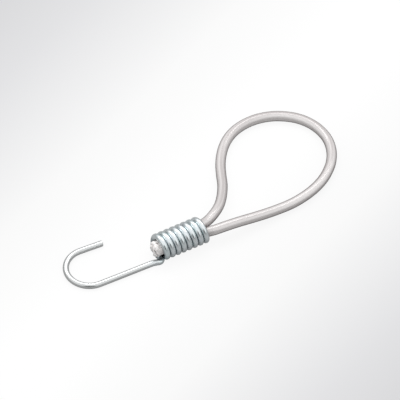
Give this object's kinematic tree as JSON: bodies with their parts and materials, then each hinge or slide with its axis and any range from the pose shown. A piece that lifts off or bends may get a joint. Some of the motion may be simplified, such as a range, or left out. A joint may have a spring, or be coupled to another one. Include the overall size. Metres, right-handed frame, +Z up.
{
  "type": "bungee cord loop with hook",
  "caption": "Elastic cord loop whose ends are gripped in the close coil of a bent wire hook; the loop stretches over a peg or stake while the hook holds an eyelet or rail.",
  "frame": {"origin": "on the table plane, under the coil's axis at its middle turn, on the flat that the turn bears on", "axes": "+X along the coil's axis from the hook to the loop, +Z up from the table that the part lies on, +Y to the side that the hook's bend and the loop lean to"},
  "size_m": [0.1541, 0.061, 0.0132],
  "materials": {
    "zinc_wire": "bright zinc plating on smooth drawn steel wire",
    "elastic_cord": "smooth extruded elastomer, milky and a little translucent, soft gloss"
  },
  "bodies": {
    "hook": {"spiral_hook": "zinc_wire", "cord_tail_near": "elastic_cord", "cord_tail_far": "elastic_cord", "loop_leg_near": "elastic_cord", "loop_leg_far": "elastic_cord"},
    "bight": {"loop_bight": "elastic_cord"}
  },
  "joints": [
    {"name": "loop_stretch", "type": "slide", "parent": "hook", "child": "bight", "axis": [0.9553, 0.2957, 0], "range_m": [0, 0.05], "stiffness_N_per_m": 600, "deforming": ["loop_leg_near", "loop_leg_far"]}
  ]
}
